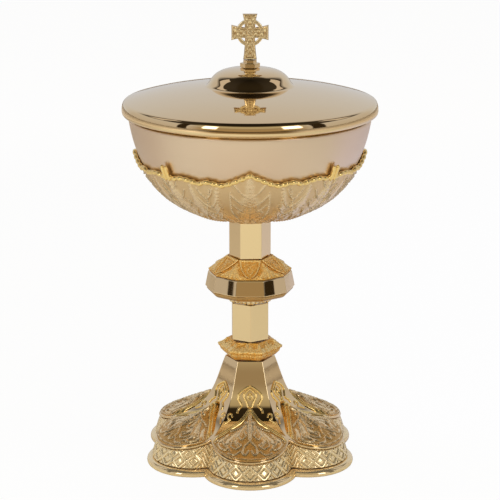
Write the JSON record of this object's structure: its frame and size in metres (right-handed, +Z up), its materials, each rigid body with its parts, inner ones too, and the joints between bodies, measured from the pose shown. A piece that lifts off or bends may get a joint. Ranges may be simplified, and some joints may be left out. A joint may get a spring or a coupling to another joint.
{
  "type": "ciborium",
  "caption": "Covered cup in gilt metal with a leafy calyx, a six-sided stem with a knop, a lobed foot and a lift-off lid with a ringed cross.",
  "frame": {"origin": "on the table, under the middle of the foot", "axes": "+Z up along the stem, the front of the cross towards -Y, +X to the right seen from the front"},
  "size_m": [0.1496, 0.1496, 0.267],
  "materials": {
    "polished_gold": "gold plate, mirror polished",
    "satin_gold": "gold plate, satin",
    "chased_gold": "gold plate over chased relief",
    "antique_gold": "gold plate, darker in the grounds of the relief",
    "plain_steel": "plain turned steel"
  },
  "bodies": {
    "stand": {"base_flange": "polished_gold", "lattice_gallery": "antique_gold", "foot_shell": "polished_gold", "arch_frame_1": "chased_gold", "arch_frame_2": "chased_gold", "arch_frame_3": "chased_gold", "arch_frame_4": "chased_gold", "arch_frame_5": "chased_gold", "arch_frame_6": "chased_gold", "lobe_panel_1": "antique_gold", "lobe_panel_2": "antique_gold", "lobe_panel_3": "antique_gold", "lobe_panel_4": "antique_gold", "lobe_panel_5": "antique_gold", "lobe_panel_6": "antique_gold", "foot_collar": "chased_gold", "lower_stem": "polished_gold", "knop_neck_ring": "chased_gold", "knop_underplate": "polished_gold", "knop_band": "polished_gold", "knop_crown": "polished_gold", "knop_shield_1": "chased_gold", "knop_shield_2": "chased_gold", "knop_shield_3": "chased_gold", "knop_shield_4": "chased_gold", "knop_shield_5": "chased_gold", "knop_shield_6": "chased_gold", "upper_stem": "polished_gold", "calyx": "chased_gold", "cup_bowl": "satin_gold", "cup_boss": "satin_gold", "tie_rod": "plain_steel", "tie_rod_washer": "plain_steel", "tie_rod_nut": "plain_steel"},
    "lid": {"lid_shell": "polished_gold", "lid_locating_ring": "satin_gold", "finial_collar": "polished_gold", "finial_cross": "chased_gold", "finial_stud": "plain_steel", "finial_washer": "plain_steel", "finial_nut": "plain_steel"}
  },
  "joints": [
    {"name": "lid_lift", "type": "slide", "parent": "stand", "child": "lid", "axis": [0, 0, 1], "range_m": [0, 0.1]}
  ]
}
